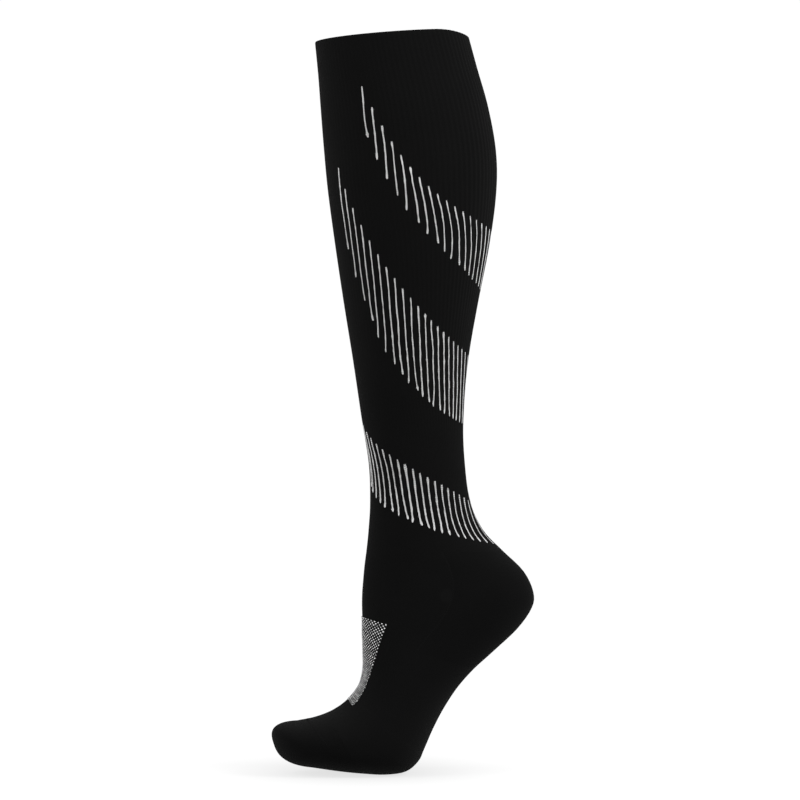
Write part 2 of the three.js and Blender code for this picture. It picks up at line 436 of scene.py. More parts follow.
def cell_map(row: Array, column: Array, courses: Array, needle: float) -> Array:
    """Maps cells of a grid to the knit.

    Args:
        row: The cells' rows.
        column: The cells' columns.
        courses: The course number at each row.
        needle: How many needles a column takes.

    Returns:
        The needle and the course at each corner of each cell.
    """
    last = len(courses) - 1
    places = [((column + c) * needle, courses[np.minimum(row + r, last)]) for r, c in CORNERS]
    return np.stack([np.stack(place, axis=1) for place in places], axis=1)


def closed_tube(name: str, rings: Array) -> Piece:
    """Joins rings into a closed wall.

    Args:
        name: The piece's name.
        rings: The rings in order, down the outside and back up the inside.

    Returns:
        The new object.
    """
    count, columns = rings.shape[:2]
    row, column = (grid.ravel() for grid in np.mgrid[0:count, 0:columns])
    faces = [(row + r) % count * columns + (column + c) % columns for r, c in CORNERS]
    uv = cell_map(row, column, courses_along(rings), NEEDLES / columns)
    return make_mesh(name, rings.reshape(-1, 3), np.stack(faces, axis=1), uv=uv)


@dataclass(frozen=True)
class Patch:
    """Cells of the foot's grid that make one closed wall."""

    name: str
    outer: Array
    inner: Array
    cells: Array
    courses: Array
    needles: int = NEEDLES

    def build(self) -> Piece:
        """Builds the patch with both faces and its edges.

        Returns:
            The new object.
        """
        rows, columns = self.cells.shape
        count = (rows + 1) * columns
        row, column = np.nonzero(self.cells)
        corners = [(row + r) * columns + (column + c) % columns for r, c in CORNERS]
        outer = np.stack(corners, axis=1)
        uv = cell_map(row, column, self.courses, self.needles / columns)
        faces, maps = [outer, outer[:, ::-1] + count], [uv, uv[:, ::-1]]
        padded = np.pad(self.cells, ((1, 1), (0, 0)))
        for start, (down, right) in enumerate(NEIGHBOURS):
            edge = ~padded[row + 1 + down, (column + right) % columns]
            end = (start + 1) % len(CORNERS)
            first, second = outer[edge, start], outer[edge, end]
            faces.append(np.stack([second, first, first + count, second + count], axis=1))
            maps.append(uv[edge][:, [end, start, start, end]])
        used, compact = np.unique(np.concatenate(faces), return_inverse=True)
        points = np.concatenate([self.outer.reshape(-1, 3), self.inner.reshape(-1, 3)])
        return make_mesh(
            self.name, points[used], compact.reshape(-1, len(CORNERS)), uv=np.concatenate(maps)
        )


@dataclass(frozen=True)
class Signal:
    """A shader socket that carries a number, for use in sums."""

    graph: "Graph"
    socket: Socket

    def math(self, operation: str, *others: "Signal | float") -> "Signal":
        """Adds a Math node on this signal and others."""
        return self.graph.math(operation, self, *others)

    def __add__(self, other: "Signal | float") -> "Signal":
        """Adds."""
        return self.math("ADD", other)

    def __sub__(self, other: "Signal | float") -> "Signal":
        """Subtracts."""
        return self.math("SUBTRACT", other)

    def __rsub__(self, other: float) -> "Signal":
        """Subtracts from a number."""
        return self.graph.math("SUBTRACT", other, self)

    def __mul__(self, other: "Signal | float") -> "Signal":
        """Multiplies."""
        return self.math("MULTIPLY", other)

    def wave(self) -> "Signal":
        """A wave from 0 to 1 that repeats at each whole number and is 0 there."""
        return 0.5 - (self * (2 * math.pi)).math("COSINE") * 0.5

    def fading(self) -> "Signal":
        """1 where the value is 0, falling softly towards 0 as it grows past 1."""
        return (self * self * -1).math("EXPONENT")


class Graph:
    """A material's nodes."""

    def __init__(self, name: str) -> None:
        """Starts a material with a shader and nothing on it.

        Args:
            name: The material's name.
        """
        self.material = bpy.data.materials.new(name)
        self.material.use_nodes = True
        self.tree = self.material.node_tree
        self.shader = self.tree.nodes["Principled BSDF"]

    def feed(self, node: bpy.types.Node, inputs: dict[str | int, object]) -> None:
        """Fills sockets of a node.

        Args:
            node: The node.
            inputs: For each socket, a value, or a signal or socket to link.
        """
        for key, value in inputs.items():
            value = getattr(value, "socket", value)
            if isinstance(value, Socket):
                self.tree.links.new(value, node.inputs[key])
            else:
                node.inputs[key].default_value = value

    def node(
        self, kind: str, inputs: dict[str | int, object] | None = None, **settings: object
    ) -> bpy.types.Node:
        """Adds a node.

        Args:
            kind: The node's type.
            inputs: What to fill its sockets with.
            **settings: Its own properties, which are set first.

        Returns:
            The node.
        """
        node = self.tree.nodes.new(kind)
        for key, value in settings.items():
            setattr(node, key, value)
        self.feed(node, inputs or {})
        return node

    def math(self, operation: str, *values: Signal | float) -> Signal:
        """Adds a Math node on these values."""
        node = self.node("ShaderNodeMath", dict(enumerate(values)), operation=operation)
        return Signal(self, node.outputs[0])

    def place(self) -> Socket:
        """The place on the piece, in its own metres."""
        return self.node("ShaderNodeTexCoord").outputs["Object"]

    def parts(self, vector: Socket) -> list[Signal]:
        """The X, Y and Z of a vector."""
        split = self.node("ShaderNodeSeparateXYZ", {"Vector": vector})
        return [Signal(self, output) for output in split.outputs]

    def noise(self, scale: float, detail: float = 2.0) -> Signal:
        """Noise from 0 to 1 that is fixed to the piece, with scale cells to the metre."""
        inputs = {"Vector": self.place(), "Scale": scale, "Detail": detail}
        return Signal(self, self.node("ShaderNodeTexNoise", inputs).outputs["Fac"])

    def knit(self) -> list[Signal]:
        """The needle and the course at each point, from the piece's own map."""
        return self.parts(self.node("ShaderNodeUVMap", uv_map="knit").outputs["UV"])[:2]

    def loops(self, needle: Signal, course: Signal) -> Signal:
        """The relief of plain loops, from 0 to 1."""
        beside = (needle.math("FRACT") - 0.5).math("ABSOLUTE") * 2
        return (course + beside * 0.5).wave() * beside.wave()

    def from_middle(self, reach: Pair) -> Signal:
        """The distance from the piece's middle, where 1 is reach, in metres along X and Y."""
        across, along = (part * (1 / size) for part, size in zip(self.parts(self.place()), reach))
        return (across * across + along * along).math("SQRT")

    def ankle_highlight(self) -> Signal:
        """Finds where the highlight is painted over the ankle bone, on both sides.

        Returns:
            1 at the bone's middle, falling to 0 round it.
        """
        x, _, z = self.parts(self.place())
        bone_x, bone_z, reach = ANKLE_HIGHLIGHT
        beside, above = (x - bone_x) * (1 / reach), (z - bone_z) * (1 / reach)
        return (1 - beside * beside - above * above).math("MAXIMUM", 0.0)

    def blend(self, share: Signal, low: Colour | Socket, high: Colour | Socket) -> Socket:
        """Mixes two colours.

        Args:
            share: 0 for low and 1 for high.
            low: A colour, or a socket that gives one.
            high: A colour, or a socket that gives one.

        Returns:
            The socket of the mixed colour.
        """
        mix = self.node("ShaderNodeMix", {0: share}, data_type="RGBA")
        ends = [key for key, socket in enumerate(mix.inputs) if socket.type == "RGBA"]
        self.feed(mix, dict(zip(ends, (low, high))))
        return next(socket for socket in mix.outputs if socket.type == "RGBA")


# The colour, what varies the roughness, and the height of the relief.
Look = tuple[Socket, Signal, Signal]


def grey(value: float) -> Colour:
    """A grey as a colour."""
    return (value, value, value, 1.0)


@dataclass(frozen=True)
class Finish:
    """What the finishes share: a dark and a light tone, and how rough and raised each is."""

    name: str
    dark: float
    light: float
    roughness: float = 0.8
    gloss: float = 0.2
    relief: float = 0.05 * MM
    sheen: float = 0.0
    sheen_roughness: float = 0.8
    spread: float = 0.1

    def look(self, graph: Graph) -> Look:
        """The colour, what varies the roughness by spread, and the relief, from 0 to 1."""
        raise NotImplementedError

    def tones(self) -> tuple[Colour, Colour]:
        """The dark and the light tone as colours."""
        return grey(self.dark), grey(self.light)

    @cache
    def material(self) -> bpy.types.Material:
        """Makes the material.

        Returns:
            The material, the same one each time.
        """
        graph = Graph(self.name)
        colour, grain, height = self.look(graph)
        bump = graph.node("ShaderNodeBump", {"Distance": self.relief, "Height": height})
        inputs = {
            "Base Color": colour,
            "Roughness": grain * self.spread + (self.roughness - self.spread / 2),
            "Specular IOR Level": self.gloss,
            "Sheen Weight": self.sheen,
            "Sheen Roughness": self.sheen_roughness,
            "Normal": bump.outputs["Normal"],
        }
        graph.feed(graph.shader, inputs)
        return graph.material


@dataclass(frozen=True)
class KnitFinish(Finish):
    """Black plain knit in nylon and elastane, with its loops in relief."""

    spread: float = 0.12

    def look(self, graph: Graph) -> Look:
        """The knit's look, which follows the piece's needles and courses.

        Args:
            graph: The material's nodes.

        Returns:
            The colour, the fibres, and the relief of the loops.
        """
        loops = graph.loops(*graph.knit())
        cloudy, fibres = graph.noise(38.0, 4.0), graph.noise(2600.0)
        # Painted highlight: the knit is drawn lighter over the ankle bone on both sides.
        # Painted shade: the colour follows the loops' relief, lighter on the loops and darker in
        # the hollows between them. The clouds and the fibres are the yarn's own tone.
        tone = cloudy * 0.55 + loops * 0.3 + fibres * 0.15 + graph.ankle_highlight() * 0.9
        return graph.blend(tone, *self.tones()), fibres, loops + fibres * 0.2


class MarlFinish(Finish):
    """The instep's ground of black loops, with the light ones between them showing through."""

    def look(self, graph: Graph) -> Look:
        """The marl's look: light and black loops change places at each needle and course.

        Args:
            graph: The material's nodes.

        Returns:
            The colour, the fibres, and the relief of the loops.
        """
        needle, course = graph.knit()
        odd = [(n * 0.5).math("FRACT").math("GREATER_THAN", 0.5) for n in (needle, course)]
        fibres = graph.noise(2200.0)
        light = graph.blend(fibres, grey(self.light * 0.75), grey(self.light))
        dark = graph.blend(fibres, grey(self.dark), grey(self.dark * 2.2))
        colour = graph.blend((odd[0] - odd[1]).math("ABSOLUTE"), dark, light)
        return colour, fibres, graph.loops(needle, course)


class YarnFinish(Finish):
    """A single yarn that stands on the knit, with its fibres and twist."""

    def look(self, graph: Graph) -> Look:
        """The yarn's look."""
        fibres, cloudy = graph.noise(3200.0, 3.0), graph.noise(240.0)
        return graph.blend(fibres * 0.55 + cloudy * 0.45, *self.tones()), cloudy, fibres


BLACK_KNIT = KnitFinish("black_knit", 0.0009, 0.002, 0.85, 0.01, 0.11 * MM, 0.008)
BLACK_HEEL = KnitFinish("black_reinforced", 0.0009, 0.002, 0.88, 0.01, 0.08 * MM, 0.0074)
BLACK_YARN = YarnFinish("black_yarn", 0.0016, 0.003, 0.85, 0.01, 0.02 * MM, 0.0074)
MARL_KNIT = MarlFinish("marl_knit", 0.003, 0.012, 0.85, 0.08, 0.12 * MM)
MARL_YARN = YarnFinish("marl_yarn", 0.66, 0.84)
STRIPE_YARN = YarnFinish("stripe_yarn", 0.39, 0.63)


def dress(piece: Piece, finish: Finish, slot: Slot) -> None:
    """Gives a piece its finish, and lets it ride on the stocking.

    Args:
        piece: The piece.
        finish: What it looks like.
        slot: Its slot in the record. It is not used.
    """
    piece.data.materials.append(finish.material())
    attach(piece, BODY)


@dataclass
class LoopModel:
    """One knitted loop as it shows on the face: two plump legs of yarn that meet in a V.

    Its width and its height are 1. x is across, y is down the wale and z is outwards. The legs
    are foot_size thinner from foot_start down.
    """

    lean: float = math.radians(24)
    leg_size: Triple = (0.25, 0.74, 0.26)
    foot_start: float = 0.1
    foot_size: Triple = (0.72, 1.0, 0.85)
    spread: float = 0.25
    vertices: Array = field(init=False, repr=False)
    faces: Array = field(init=False, repr=False)

    def __post_init__(self) -> None:
        """Models the loop once and keeps its points and faces."""
        deselect()
        bpy.ops.mesh.primitive_ico_sphere_add(subdivisions=1, radius=1.0)
        leg = bpy.context.active_object
        bpy.ops.object.mode_set(mode="EDIT")
        bpy.ops.mesh.select_all(action="SELECT")
        bpy.ops.transform.resize(value=self.leg_size)
        bpy.ops.mesh.select_all(action="DESELECT")
        bpy.ops.object.mode_set(mode="OBJECT")
        for vertex in leg.data.vertices:
            vertex.select = vertex.co.y > self.foot_start
        bpy.ops.object.mode_set(mode="EDIT")
        bpy.ops.transform.resize(value=self.foot_size, center_override=(0, 0, 0))
        bpy.ops.mesh.select_all(action="SELECT")
        bpy.ops.transform.rotate(value=-self.lean, orient_axis="Z", center_override=(0, 0, 0))
        bpy.ops.transform.translate(value=(self.spread, 0, 0))
        bpy.ops.object.mode_set(mode="OBJECT")
        mirror = leg.modifiers.new("other_leg", "MIRROR")
        mirror.use_mirror_merge = False
        bpy.ops.object.modifier_apply(modifier=mirror.name)
        points = np.zeros(len(leg.data.vertices) * 3)
        leg.data.vertices.foreach_get("co", points)
        self.vertices = points.reshape(-1, 3)
        self.faces = np.array([list(face.vertices) for face in leg.data.polygons])
        bpy.data.objects.remove(leg)
        self._face_outwards()

    def _face_outwards(self) -> None:
        """Turns the faces that look into their leg."""
        first, second, third = (self.vertices[self.faces[:, k]] for k in range(3))
        middle = (first + second + third) / 3
        from_leg = middle - np.sign(middle[:, :1]) * (self.spread, 0, 0)
        turned = (np.cross(second - first, third - first) * from_leg).sum(axis=1) < 0
        self.faces[turned] = self.faces[turned][:, ::-1]


@cache
def loop_model() -> LoopModel:
    """The one loop that every row of loops copies."""
    return LoopModel()


@dataclass
class LoopRun:
    """Places for copies of the loop, gathered for one joined piece."""

    places: list[tuple[Array, Array, Array, Array]] = field(default_factory=list)

    def add_line(
        self, points: Array, normals: Array, widths: Sizes, lengths: Sizes, depth: float
    ) -> None:
        """Adds loops along a line.

        Args:
            points: The loops' middles.
            normals: The knit's outward direction at each.
            widths: The loops' widths, in metres.
            lengths: The loops' heights along the line, in metres.
            depth: Their thickness, in metres.
        """
        along = np.gradient(points, axis=0)
        along -= normals * (along * normals).sum(axis=1, keepdims=True)
        along /= np.linalg.norm(along, axis=1, keepdims=True)
        across = np.cross(along, normals)
        widths, lengths = (np.reshape(size, (-1, 1)) for size in (widths, lengths))
        self.places.append((points, across * widths, along * lengths, normals * depth))

    def build(self, name: str) -> Piece:
        """Copies the loop to every place.

        Args:
            name: The piece's name.

        Returns:
            The joined piece.
        """
        loop = loop_model()
        gathered = (np.concatenate(part)[:, None] for part in zip(*self.places))
        centre, across, along, outward = gathered
        x, y, z = (loop.vertices[None, :, k, None] for k in range(3))
        points = centre + across * x + along * y + outward * z
        shift = (np.arange(len(centre)) * len(loop.vertices))[:, None, None]
        faces = (loop.faces[None] + shift).reshape(-1, 3)
        return make_mesh(name, points.reshape(-1, 3), faces, smooth_angle=75.0)


@dataclass
class Welt:
    """The turned band at the top, a fold of two layers."""

    columns: int = NEEDLES * 3
    outer_rows: int = 8
    fold_steps: int = 6
    hem_depth: float = WALL + 0.25 * MM
    hem_width: float = 0.7
    hem_thickness: float = 0.9 * MM
    cut: Pair = (0.258, 0.0245)

    def build(self) -> None:
        """Builds the band, with its top edge rounded as a fold, and its hem."""
        wales = np.arange(self.columns) / self.columns
        radius = WELT_WALL / 2
        start = FORM.rim(wales, radius)
        share = np.linspace(0, 1, self.outer_rows + 1)[:, None]
        stations = start * (1 - share) + STATION["welt_foot"] * share
        outer = ribbed(stations, wales)
        inner = inside(stations, wales, WELT_WALL)[::-1]
        middle, normals = FORM.worn(start, wales)
        upward = outer[0] - outer[1]
        upward /= np.linalg.norm(upward, axis=1, keepdims=True)
        groove = (middle - outer[0]) / 2
        fold = []
        for turn in np.linspace(math.pi, 0, self.fold_steps + 1)[1:-1]:
            outwards, upwards = math.cos(turn), math.sin(turn)
            bend = radius * (normals * outwards + upward * upwards)
            fold.append(middle - normals * radius + bend - groove * (1 + outwards))
        self.piece = closed_tube("welt_cloth", np.concatenate([outer, inner, np.stack(fold)]))
        self._build_hem()

    def _build_hem(self) -> None:
        """Builds the row of loops that holds the turned layer down inside."""
        wales = np.arange(NEEDLES) / NEEDLES
        stations = np.full_like(wales, STATION["welt_foot"] + 0.01)
        points, normals = FORM.worn(stations, wales)
        pitch = FORM.girth(stations[0]) / NEEDLES
        points = points - normals * self.hem_depth
        run = LoopRun()
        run.add_line(points, -normals, pitch * self.hem_width, pitch, self.hem_thickness)
        self.hem = run.build("hem_loops")

    def dress(self) -> None:
        dress(self.piece, BLACK_KNIT, Slot.KNIT)
        dress(self.hem, BLACK_YARN, Slot.KNIT)
        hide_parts("welt")


@dataclass
class StripeBand:
    """One slanting band of light upright stripes, alike on both sides of the leg.

    A law of three numbers gives a number, one for each n and one for each n * n, for stripe n
    of a side. Its top is start round the girth, in 48ths, and its foot lies drift further.
    The last stripes fan out round the back by up to fan. Each top and bottom is where the first
    stripe's is, how far the others sink, and over how many stripes: fast at first and slower
    towards the back. Heights and widths are in millimetres, and widths are at the front and the
    back. The loops of a stripe sway within sway_limit, hook is how far its foot turns aside, and
    the back's limits keep the two sides apart.
    """

    name: str
    stripes: int
    start: Triple
    fan: float
    drift: Triple
    top: Triple
    bottom: Triple
    widths: Pair
    seed: int
    places: int = 48
    fan_reach: float = 1.6
    front_limit: float = 0.5
    back_limit: float = 23.45
    back_foot_limit: float = 23.75
    loop_height: float = 1.15 * MM
    depth: float = 1.0 * MM
    sway: float = 0.5 * MM
    sway_loops: int = 13
    sway_limit: float = 1.1 * MM
    hook: float = 0.7 * MM
    hook_loops: float = 4.0

    def _line(self, number: int) -> tuple[Array, Array]:
        """Finds where a stripe runs.

        Args:
            number: Which stripe, from the shin to the back.

        Returns:
            The stations and the wales of its loops, from the top down.
        """
        fanned = self.fan * math.exp((number - self.stripes + 2) / self.fan_reach)
        wale, drift = (a + b * number + c * number**2 for a, b, c in (self.start, self.drift))
        wale = min(max(wale + fanned, self.front_limit), self.back_limit)
        drift = min(drift, self.back_foot_limit - wale)
        top, bottom = (
            first - drop * (1 - math.exp(-number / reach))
            for first, drop, reach in (self.top, self.bottom)
        )
        upper = FORM.station_at_height(wale / self.places, top * MM)
        lower = FORM.station_at_height((wale + drift) / self.places, bottom * MM)
        count = max(4, round((top - bottom) * MM / self.loop_height))
        share = (np.arange(count) + 0.5) / count
        eased = np.sin(share * math.pi / 2)
        return upper + (lower - upper) * share, (wale + drift * eased) / self.places

    def build(self) -> None:
        """Builds all the band's stripes as chains of loops."""
        chance = np.random.default_rng(self.seed)
        even = np.ones(self.sway_loops) / self.sway_loops
        front, back = self.widths
        run = LoopRun()
        for number in range(self.stripes):
            stations, wales = self._line(number)
            count = len(stations)
            share = number / (self.stripes - 1)
            width = (front + (back - front) * share) * MM
            for side in (wales, 1 - wales):
                shaken = chance.normal(0, 1, count + self.sway_loops - 1)
                sway = np.convolve(shaken, even, "valid") * self.sway
                turned = np.exp(-np.arange(count)[::-1] / self.hook_loops)
                sway += turned * chance.normal(0, self.hook)
                around = np.clip(sway, -self.sway_limit, self.sway_limit)
                side = side + around / FORM.girth(stations)
                points, normals = FORM.worn(stations, side)
                widths = width * self._unevenness(chance, count)
                length = np.linalg.norm(points[-1] - points[0]) / (count - 1)
                run.add_line(points, normals, widths, length, self.depth)
        self.piece = run.build(self.name)

    @staticmethod
    def _unevenness(chance: np.random.Generator, count: int) -> Array:
        """How the width of a stripe varies: beads along it and drops of yarn at its ends.

        Args:
            chance: The seeded source of chance.
            count: How many loops the stripe has.

        Returns:
            The width of each loop, where 1 is the usual one.
        """
        own_width, bead, bead_limits = (0.78, 1.14), 0.22, (-1.4, 1.9)
        knot_share, knot, last_loop = 0.05, 1.35, 0.8
        least_drops, most_drops = (0.1, 0.2), (0.75, 0.75)
        wobble = np.convolve(chance.normal(0, 1, count + 2), np.ones(3) / 3, "valid")
        widths = chance.uniform(*own_width) + bead * np.clip(wobble, *bead_limits)
        widths[chance.uniform(size=count) < knot_share] *= knot
        drops = chance.uniform(least_drops, most_drops)
        from_top = np.arange(count)
        ends = ((from_top, 1.2, 1.9), (from_top[::-1], 0.8, 1.5))
        for drop, (from_end, middle, reach) in zip(drops, ends):
            widths *= 1 + drop * np.exp(-(((from_end - middle) / reach) ** 2))
        widths[[0, -1]] *= last_loop
        return widths

    def dress(self) -> None:
        """Gives the stripes their yarn."""
        dress(self.piece, STRIPE_YARN, Slot.STRIPE)


def stripe_bands() -> list[StripeBand]:
    """States the three bands: two start beside the shin, and the lowest one at it.

    Returns:
        The bands, from the top down.
    """
    return [
        StripeBand(
            "stripes_upper", 18, start=(9.39, 0.719, 0.0025), fan=0.497,
            drift=(-0.25, 0.141, -0.0057), top=(-37.2, 105.5, 6.79),
            bottom=(-71.8, 113.0, 6.97), widths=(0.83, 0.65), seed=11,
        ),
        StripeBand(
            "stripes_middle", 21, start=(4.79, 0.805, -0.0002), fan=0.918,
            drift=(-0.17, -0.017, 0.0046), top=(-91.6, 144.6, 9.5),
            bottom=(-146.7, 123.6, 6.0), widths=(0.85, 0.57), seed=12,
        ),
        StripeBand(
            "stripes_lower", 20, start=(0.11, 1.086, 0.0029), fan=1.075,
            drift=(1.265, -0.074, -0.0032), top=(-262.0, 95.1, 20.5),
            bottom=(-308.4, 49.4, 12.2), widths=(1.04, 0.71), seed=13,
        ),
    ]


@dataclass
class Leg:
    """The tube from the welt down to the heel, with fine upright ribs."""

    columns: int = NEEDLES * 3
    outer_steps: int = 6
    inner_steps: int = 2
    cut: Pair = (0.22, 0.317)
    bands: list[StripeBand] = field(default_factory=stripe_bands)

    def build(self) -> None:
        """Builds the tube and its stripes."""
        top, foot = STATION["welt_foot"], STATION["heel_top"]
        wales = np.arange(self.columns) / self.columns
        down = np.linspace(top, foot, (foot - top) * self.outer_steps + 1)[:, None]
        up = np.linspace(foot, top, (foot - top) * self.inner_steps + 1)[:, None]
        rings = np.concatenate([ribbed(down, wales), inside(up, wales, WALL)])
        self.piece = closed_tube("leg_cloth", rings)
        for band in self.bands:
            band.build()

    def dress(self) -> None:
        dress(self.piece, BLACK_KNIT, Slot.KNIT)
        for band in self.bands:
            band.dress()
        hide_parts("leg")
        stripes = [band.piece for band in self.bands]


# How far the panel's sides lie outside the front quarter of the needles, as a share of the
# girth, at some sections. They draw in towards the toes.
PANEL_TAPER = {
    "heel_top": 0.0,
    "panel_top": 0.008,
    "heel_foot": 0.010,
    "arch": 0.008,
    "low_arch": -0.003,
    "instep": -0.008,
    "panel_foot": -0.013,
    "toe_start": 0.0,
}


@dataclass
class Foot:
    """The foot's plain knit, the heel pocket behind it and the marl panel on the instep.

    The panel's marl yarn has thicker and thinner stretches of slub_needles loops, which show
    more towards the toes, by slub_top and slub_more, and are slub_shift thicker on odd needles.
    The light loops have light_sizes at random, and are light_less smaller towards the toes.
    """

    columns: int = NEEDLES * 2
    steps: int = 4
    panel_share: float = 1 / 8
    heel_share: float = 1 / 4
    heel_proud: float = 0.15 * MM
    panel_courses: int = 50
    panel_needles: int = 160
    panel_proud: float = 0.4 * MM
    light_share: float = 0.53
    light_depth: float = 0.85 * MM
    light_length: float = 0.6
    light_sizes: Pair = (0.68, 1.24)
    light_less: float = 0.12
    slub_needles: int = 4
    slubs_in_course: int = 12
    slub_top: float = 0.04
    slub_more: float = 0.24
    slub_shift: float = 0.4
    slub_seed: int = 21
    suture_loops: int = 44
    foot_cut: Pair = (0.185, 0.16)
    foot_area: float = 0.0186
    heel_cut: Pair = (0.108, 0.083)
    panel_cut: Pair = (0.046, 0.056)

    def build(self) -> None:
        """Builds the three cloths and the loops on them."""
        first, last = STATION["heel_top"], STATION["toe_start"]
        stations = np.linspace(first, last, (last - first) * self.steps + 1)[:, None]
        wales = np.arange(self.columns) / self.columns
        outer, normals = FORM.at(stations, self._tapered(stations, wales))
        inner, courses = outer - normals * WALL, courses_along(outer)
        station, wale = stations[:-1] + 0.5 / self.steps, wales + 0.5 / self.columns
        from_front = np.minimum(wale, 1 - wale)
        top, foot = STATION["panel_top"], STATION["panel_foot"]
        in_panel = (station > top) & (station < foot) & (from_front < self.panel_share)
        in_heel = (station < STATION["heel_foot"]) & (from_front > self.heel_share)
        heel_inner = outer - normals * HEEL_WALL
        pad = outer + normals * self._heel_pad(stations, wales)[..., None]
        raised = outer + normals * self.panel_proud
        rows, needles = self._panel_rows(stations), self.panel_needles
        self.heel = Patch("heel_cloth", pad, heel_inner, in_heel, courses).build()
        self.foot = Patch("foot_cloth", outer, inner, ~in_heel & ~in_panel, courses).build()
        self.panel = Patch("instep_cloth", raised, inner, in_panel, rows, needles).build()
        self._build_light_loops()
        self._build_suture()

    @staticmethod
    def _tapered(stations: Array, wales: Array) -> Array:
        """Where wales of the foot really lie: the panel's sides draw in towards the toes.

        Args:
            stations: The places' stations.
            wales: The wales as the needles count them.

        Returns:
            The wales as shares of the girth.
        """
        at = [STATION[name] for name in PANEL_TAPER]
        shift = np.interp(stations, at, list(PANEL_TAPER.values()))
        beside = np.abs(wales - np.round(wales)) < 0.25
        leaned = FORM.leaning(stations, wales)
        return leaned + shift * np.sin(4 * math.pi * wales) * beside

    def _heel_pad(self, stations: Array, wales: Array) -> Array:
        """How far the denser heel stands out, rising from its edges.

        Args:
            stations: The places' stations.
            wales: The places' wales, of a shape that fits the stations'.

        Returns:
            The heights, in metres.
        """
        top, foot = STATION["heel_top"], STATION["heel_foot"]
        edge = 0.02
        beside = np.clip((np.minimum(wales, 1 - wales) - self.heel_share) / edge, 0, 1)
        along = np.clip((stations - top) * 2, 0, 1) * np.clip((foot - stations) * 2, 0, 1)
        return self.heel_proud * beside * along

    def _panel_rows(self, stations: Array) -> Array:
        """Counts the panel's courses by the length of its middle line.

        Args:
            stations: Where to count.

        Returns:
            The course number at each station.
        """
        fine = np.linspace(STATION["panel_top"], STATION["panel_foot"], 200)
        line = FORM.at(fine, 0.0)[0]
        length = summed(np.linalg.norm(np.diff(line, axis=0), axis=1))
        return np.interp(stations.ravel(), fine, length / length[-1]) * self.panel_courses

    def _build_light_loops(self) -> None:
        """Builds the panel's light loops, every other one along each needle and each course."""
        needles = round(self.panel_needles * self.panel_share)
        fine = np.linspace(STATION["panel_top"], STATION["panel_foot"], 400)
        course = self._panel_rows(fine)
        chance = np.random.default_rng(self.slub_seed)
        slubs = chance.uniform(-1, 1, (self.panel_courses, self.slubs_in_course))
        starts = chance.integers(0, self.slub_needles, self.panel_courses)
        run = LoopRun()
        for needle in range(-needles, needles):
            numbers = np.arange(needle % 2 == 0, self.panel_courses, 2) + 0.5
            stations = np.interp(numbers, course, fine)
            wales = np.full_like(stations, (needle + 0.5) / self.panel_needles)
            points, normals = FORM.at(stations, self._tapered(stations, wales))
            width = FORM.girth(stations) / self.panel_needles * self.light_share
            row = numbers.astype(int)
            slub = slubs[row, (needle + needles + starts[row]) // self.slub_needles]
            slub += self.slub_shift if needle % 2 else -self.slub_shift
            low = np.clip(numbers / self.panel_courses * 2 - 0.5, 0, 1)
            size = chance.uniform(*self.light_sizes, len(stations))
            size *= 1 + slub * (self.slub_top + self.slub_more * low)
            size *= 1 - self.light_less * low
            points = points + normals * self.panel_proud
            height = spacing(points) / 2 * self.light_length
            run.add_line(points, normals, width * size, height * size, self.light_depth)
        self.panel_loops = run.build("instep_loops")

    def _build_suture(self) -> None:
        """Builds the row of drawn loops down each side of the heel pocket."""
        top, foot = STATION["heel_top"] + 0.1, STATION["heel_foot"] - 0.1
        stations = np.linspace(top, foot, self.suture_loops)
        run = LoopRun()
        for wale in (self.heel_share, 1 - self.heel_share):
            points, normals = FORM.worn(stations, wale)
            run.add_line(points, normals, SEAM_WIDTH, spacing(points) * 0.9, SEAM_DEPTH)
        self.suture = run.build("heel_suture")

    def dress(self) -> None:
        dress(self.foot, BLACK_KNIT, Slot.KNIT)
        dress(self.heel, BLACK_HEEL, Slot.REINFORCED)
        dress(self.panel, MARL_KNIT, Slot.MARL)
        dress(self.panel_loops, MARL_YARN, Slot.MARL)
        dress(self.suture, BLACK_YARN, Slot.REINFORCED)
        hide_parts("foot")
        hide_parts("heel")
        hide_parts("instep_panel")


